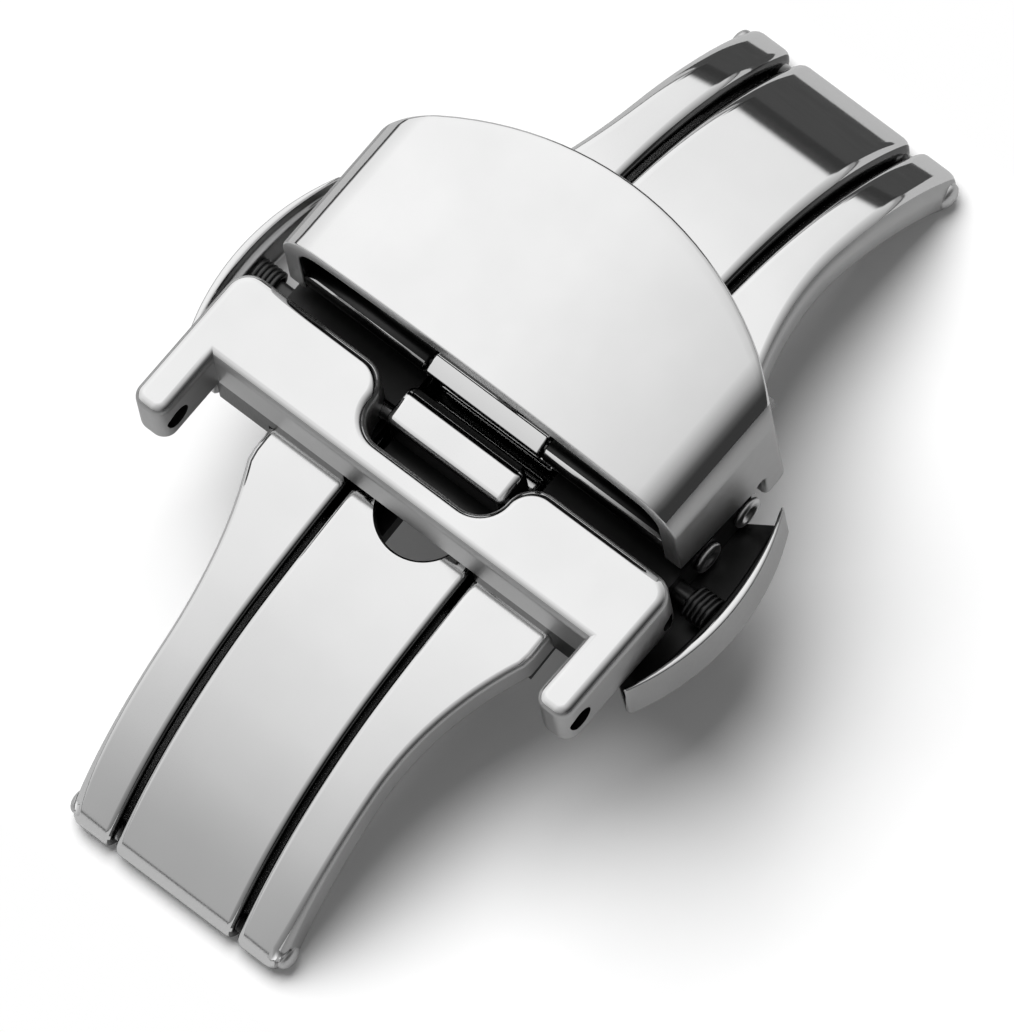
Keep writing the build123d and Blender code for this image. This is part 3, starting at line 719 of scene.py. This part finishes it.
def spring_ring(side, share):
    """The corners round the wire at a share of the way along its coil."""
    turn = 2 * math.pi * spring_turns * share
    outward = Vector((math.cos(turn), 0, math.sin(turn)))
    middle = Vector((lock_centre, side * (spring_start - (spring_start - spring_end) * share),
                     lock_axis_z)) + coil_radius * outward
    around = [2 * math.pi * i / wire_sides for i in range(wire_sides)]
    return [middle + wire_radius * (math.cos(angle) * outward + math.sin(angle) * Vector((0, 1, 0)))
            for angle in around]


for name, side in (("front", -1), ("rear", 1)):
    button = loft("push_button_" + name, [[(line[i][0], side * line[i][1], z) for line, z in profile]
                                          for i in range(bow_steps + 1)])
    # Below the top, the front button's hollow is painted near black as shade. Its outer face and
    # ends, and the whole rear button below its top, are satin steel painted darker as shade.
    pick_faces(button, 1, lambda centre, facing: centre.z < button_top - 0.1)
    pick_faces(button, 2, lambda centre, facing: side * facing.y > 0.7 or abs(facing.x) > 0.8)
    break_edges(button, 0.1)
    even_shading(button)
    dress(button, ["button_" + name], "button_" + name, "polished_steel", button_steel,
          painted_shade_steel if side < 0 else satin_and_shade_steel, satin_and_shade_steel)
    spring = loft("return_spring_" + name,
                  [spring_ring(side, step / coil_steps) for step in range(coil_steps + 1)])
    smooth(spring)
    dress(spring, ["button_spring_" + name], "button_" + name, "spring_steel", spring_steel)
# The slides are painted near black as shade.
refinish(["slide_front", "slide_rear"], spring_steel)

# Strap bar.
# A steel C with a lug at each end, drilled for the spring bar of the strap and for the pin that
# holds it to the anchor block. Its top is polished, its sides are satin steel painted darker as
# shade, its bores are painted near black as shade, and its edges are soft.
bar_steel = polished_steel("bar_steel", 0.76, 0.8, 0.05)
# Brushed steel, darkened as painted shade, for small parts hidden in the bar's bore and under the
# cover.
brushed_shade_steel = polished_steel("brushed_shade_steel", 0.2, 0.26, 0.2, 0.05)
bar_face = -5.45
bar_rear = -1.75
lug_tip = -8.55
lug_inner = 9.1
lug_outer = 10.7
bar_bottom = 9.33
bar_top = 12.0
lug_round = 0.6
shoulder_round = 1.0
notch_half_width = 3.3
notch_round = 1.25
strap_bore = (-7.7, 10.5)
strap_bore_radius = 0.55
pin_bore = (-2.55, 9.95)
pin_bore_radius = 0.37
bar_pin_radius = 0.35
bar_pin_half_length = 10.4


def arc(centre, radius, start, end, steps=10):
    """Points of an arc between two angles in degrees."""
    turns = [math.radians(start + (end - start) * i / steps) for i in range(steps + 1)]
    return [(centre[0] + radius * math.cos(turn), centre[1] + radius * math.sin(turn))
            for turn in turns]


def prism(name, outline, low, high):
    """A plan outline of (x, y) points, pulled up from low to high."""
    return loft(name, [[(x, y, z) for x, y in outline] for z in (low, high)])


def bar_rounding(middle):
    """Share of the rounding: all of it along the top, half along the underside."""
    if middle.z > bar_top - 0.1:
        return 1.0
    return 0.5 if middle.z < bar_bottom + 0.1 else 0.0


half = [(bar_face, lug_inner)]
half += arc((lug_tip + lug_round, lug_inner + lug_round), lug_round, 270, 180)
half += arc((lug_tip + lug_round, lug_outer - lug_round), lug_round, 180, 90)
half += arc((bar_rear - shoulder_round, lug_outer - shoulder_round), shoulder_round, 90, 0, 14)
half += arc((bar_rear - notch_round, notch_half_width + notch_round), notch_round, 0, -90, 14)
half += arc((bar_rear - notch_round, notch_half_width - notch_round), notch_round, 90, 180, 14)
strap_bar = prism("strap_bar_polished", half + [(x, -y) for x, y in half[::-1]], bar_bottom, bar_top)
# Painted shade: the sides are darker satin steel.
pick_faces(strap_bar, 1, lambda centre, facing: abs(facing.z) < 0.5)
break_edges(strap_bar, 0.42, 6, 60, bar_rounding)
settle(strap_bar)
for (bore_x, bore_z), radius in ((strap_bore, strap_bore_radius), (pin_bore, pin_bore_radius)):
    machine(strap_bar, turned_piece("drill", (bore_x, 0, bore_z), (0, 1, 0),
                                    [(-12, radius), (12, radius)], 64))
    # Painted shade: the walls of the bores are near black.
    pick_faces(strap_bar, 2, lambda centre, facing: abs(facing.y) < 0.3
               and abs(math.hypot(centre.x - bore_x, centre.z - bore_z) - radius) < 0.03)
even_shading(strap_bar)
dress(strap_bar, ["strap_bar"], "left_arm", "polished_steel", bar_steel, satin_and_shade_steel, painted_shade_steel)
bar_pin_tip = [(0, 0.2), (0.04, 0.32), (0.1, bar_pin_radius)]
bar_pin_outline = bar_pin_tip + [(2 * bar_pin_half_length - along, radius)
                                 for along, radius in bar_pin_tip[::-1]]
bar_pin = turned_piece("bar_pin", (pin_bore[0], -bar_pin_half_length, pin_bore[1]), (0, 1, 0),
                       bar_pin_outline)
smooth(bar_pin)
# The pin in the bar's bore takes the darkened brushed steel, as painted shade.
dress(bar_pin, ["strap_bar_pin"], "left_arm", "fine_brushed_steel", brushed_shade_steel)

# Anchor block.
# A polished steel block riveted on the left arm fills the notch of the strap bar. Its top edge
# towards the cover is bevelled, and its thin tongue lies under the bar.
block_view = [(-3.05, 6.9), (-1.35, 6.9), (-1.35, 10.85), (-1.6, 11.0), (-3.05, 10.8)]
block_half_width = 2.87
tongue_view = [(-5.0, 8.8), (-2.9, 8.8), (-2.9, 9.3), (-5.0, 9.3)]
tongue_half_width = 2.5


def cross_prism(name, outline, half_width):
    """A side outline of (x, z) points, pulled across the clasp."""
    return loft(name, [[(x, y, z) for x, z in outline] for y in (-half_width, half_width)])


block = cross_prism("block", block_view, block_half_width)
break_edges(block, 0.3, 5, 20)
tongue = cross_prism("tongue", tongue_view, tongue_half_width)
settle(block)
anchor = join("anchor_block_polished", [block, tongue])
# Painted shade: the tongue under the bar and the block's walls are near black.
pick_faces(anchor, 1, lambda centre, facing: centre.z < 9.4 or facing.z < 0.3)
even_shading(anchor)
dress(anchor, ["anchor_block"], "left_arm", "polished_steel", bar_steel, painted_shade_steel)
# The catches and the rivets under the bar are painted near black as shade.
refinish(["strap_bar_catches", "anchor_rivets"], painted_shade_steel)

# Cover carrier.
# A steel plate riveted on the right arm. Its rolled edge at the cover's mouth is the middle
# knuckle of the cover's hinge, and the pad and the peg for the strap stand on it.
cover_steel = polished_steel("cover_steel", 0.76, 0.8, 0.04)
mouth_pin = (-0.1, 10.75)
curl_radius = 0.59
curl_half_width = 2.75
curl_view = arc(mouth_pin, curl_radius, 70, -150, 14)
curl_view += [(-0.69, 10.75), (-0.68, 11.06), (-0.62, 11.12), (-0.02, 11.4), (0.04, 11.4)]
knuckle = cross_prism("middle_knuckle", curl_view, curl_half_width)
break_edges(knuckle, 0.08, 4, 60)
even_shading(knuckle)
dress(knuckle, [], "right_arm", "polished_steel", cover_steel)
# The carrier plate and its catches, under the cover, are painted near black as shade.
refinish(["cover_carrier", "carrier_catches"], painted_shade_steel)
# Painted shade: the rivets, pad, peg and hinge pin under the cover take the darkened brushed steel.
refinish(["carrier_rivets", "strap_pad", "tang", "cover_hinge_pin"], brushed_shade_steel)

# Strap cover.
# A bridge of sheet steel over the strap, straight at its mouth and curved at its back, with
# rolled shoulders and a mirror polish outside. Inside it is painted near black as shade. It turns
# on the pin at the mouth.
# Near black steel: painted shade inside the cover.
inner_shade_steel = polished_steel("inner_shade_steel", 0.03, 0.05, 0.35, 0.03)
rim_steel = polished_steel("rim_steel", 0.74, 0.78, 0.36, 0.02)
cover_half_width = 9.65
cover_wall = 0.85
cover_top = 15.2
mouth_x = -0.6
mouth_bottom = 9.8
crown_sweep = 75.0
shoulder = 2.0
back_sweep = 14.8
back_x = 8.95
back_centre = back_x - back_sweep
shoulder_y = cover_half_width - shoulder
crown_y = shoulder_y / (1 - shoulder / crown_sweep)
tilt = math.asin(crown_y / crown_sweep)
shoulder_z = cover_top - crown_sweep + (crown_sweep - shoulder) * math.cos(tilt)
shoulder_steps = 14
crown_steps = 12
foot_centre = (4.75, 8.65)
foot_radius = 0.85
toe_centre = (4.37, 8.02)
toe_radius = 0.22
step_centre = (4.03, 9.2)
step_radius = 0.17


def shell_depth(point):
    """How far a point lies below the outer skin of the cover."""
    side = abs(point.y)
    if point.z < shoulder_z:
        return cover_half_width - side
    if side < crown_y:
        return crown_sweep - math.hypot(side, point.z - cover_top + crown_sweep)
    return shoulder - math.hypot(side - shoulder_y, point.z - shoulder_z)


def back_edge(y):
    """The x of the cover's curved back."""
    return back_centre + math.sqrt(back_sweep ** 2 - y ** 2)


section = []
for i in range(shoulder_steps + 1):
    section.append((shoulder_y, shoulder_z, shoulder, (math.pi / 2 - tilt) * i / shoulder_steps))
for i in range(1, 2 * crown_steps):
    section.append((0, cover_top - crown_sweep, crown_sweep,
                    math.pi / 2 - tilt + tilt * i / crown_steps))
for i in range(shoulder_steps + 1):
    section.append((-shoulder_y, shoulder_z, shoulder,
                    math.pi / 2 + tilt + (math.pi / 2 - tilt) * i / shoulder_steps))
shares = (0, 0.07, 0.2, 0.4, 0.6, 0.8, 0.93, 1)
rows, columns = len(section), len(shares)
shell = rows * columns
corners, faces = [], []
for depth in (0, cover_wall):
    for y, z, radius, turn in section:
        end = back_edge(y + radius * math.cos(turn))
        for share in shares:
            corners.append((mouth_x + (end - mouth_x) * share,
                            y + (radius - depth) * math.cos(turn),
                            z + (radius - depth) * math.sin(turn)))
for layer in (0, shell):
    for i in range(rows - 1):
        for j in range(columns - 1):
            a = layer + i * columns + j
            faces.append((a, a + 1, a + columns + 1, a + columns))
for i in range(rows - 1):
    for j in (0, columns - 1):
        a = i * columns + j
        faces.append((a, a + columns, a + columns + shell, a + shell))
foot_corner = math.degrees(math.acos((back_edge(cover_half_width) - foot_centre[0]) / foot_radius))
foot = arc(foot_centre, foot_radius, -foot_corner, -90, 8)
foot += arc(toe_centre, toe_radius, 270, 180, 5)
foot += arc(step_centre, step_radius, -35, 215, 10) + [(mouth_x, mouth_bottom)]
for row, side in ((0, 1), (rows - 1, -1)):
    rims = []
    for depth, layer in ((0, 0), (cover_wall, shell)):
        start = len(corners)
        corners += [(x, side * (cover_half_width - depth), z) for x, z in foot]
        wall_top = [layer + row * columns + j for j in range(columns)]
        wall_foot = list(range(start, start + len(foot)))
        faces.append(wall_top + wall_foot)
        rims.append([wall_top[-1]] + wall_foot + [wall_top[0]])
    for i in range(len(rims[0]) - 1):
        faces.append((rims[0][i], rims[0][i + 1], rims[1][i + 1], rims[1][i]))
cover = new_piece("strap_cover_polished", corners, faces)
# Painted shade: the side walls are darker satin steel, and the inner skin is near black.
pick_faces(cover, 2, lambda centre, facing: abs(facing.y) > 0.8)
pick_faces(cover, 3, lambda centre, facing: facing.x < -0.9)
pick_faces(cover, 1, lambda centre, facing: shell_depth(centre) > cover_wall - 0.02)
break_edges(cover, 0.22, 4, 50, lambda middle: 0.35 if middle.x < mouth_x + 0.1 else 1.0)
even_shading(cover)
dress(cover, ["strap_cover"], "cover", "polished_steel", cover_steel, inner_shade_steel, satin_and_shade_steel,
      rim_steel)

# The cover's own two knuckles are tubes, chamfered at their inner ends. A narrow polished band up
# each is a painted highlight, and the rest is painted near black as shade.
knuckle_start = 2.87
knuckle_end = 8.8
knuckle_bore = 0.3
knuckle_radius = 0.55
knuckle_outline = [(knuckle_start, knuckle_bore), (knuckle_start, 0.45), (2.9, 0.5),
                   (2.97, knuckle_radius), (knuckle_end, knuckle_radius), (knuckle_end, knuckle_bore)]


def painted_highlight_band(centre, facing):
    """The narrow band up the left of each knuckle, narrower on the rear one: a painted highlight."""
    return facing.z >= 0 and (0.55 if centre.y > 0 else 0.42) < -facing.x < 0.74


knuckles = join("cover_knuckles_polished",
                [turned_piece("tube", (mouth_pin[0], 0, mouth_pin[1]), (0, side, 0), knuckle_outline)
                 for side in (-1, 1)])
smooth(knuckles)
# Painted shade on all but the highlight band.
pick_faces(knuckles, 1, lambda centre, facing: not painted_highlight_band(centre, facing))
dress(knuckles, ["cover_knuckles"], "cover", "polished_steel", cover_steel, painted_shade_steel)
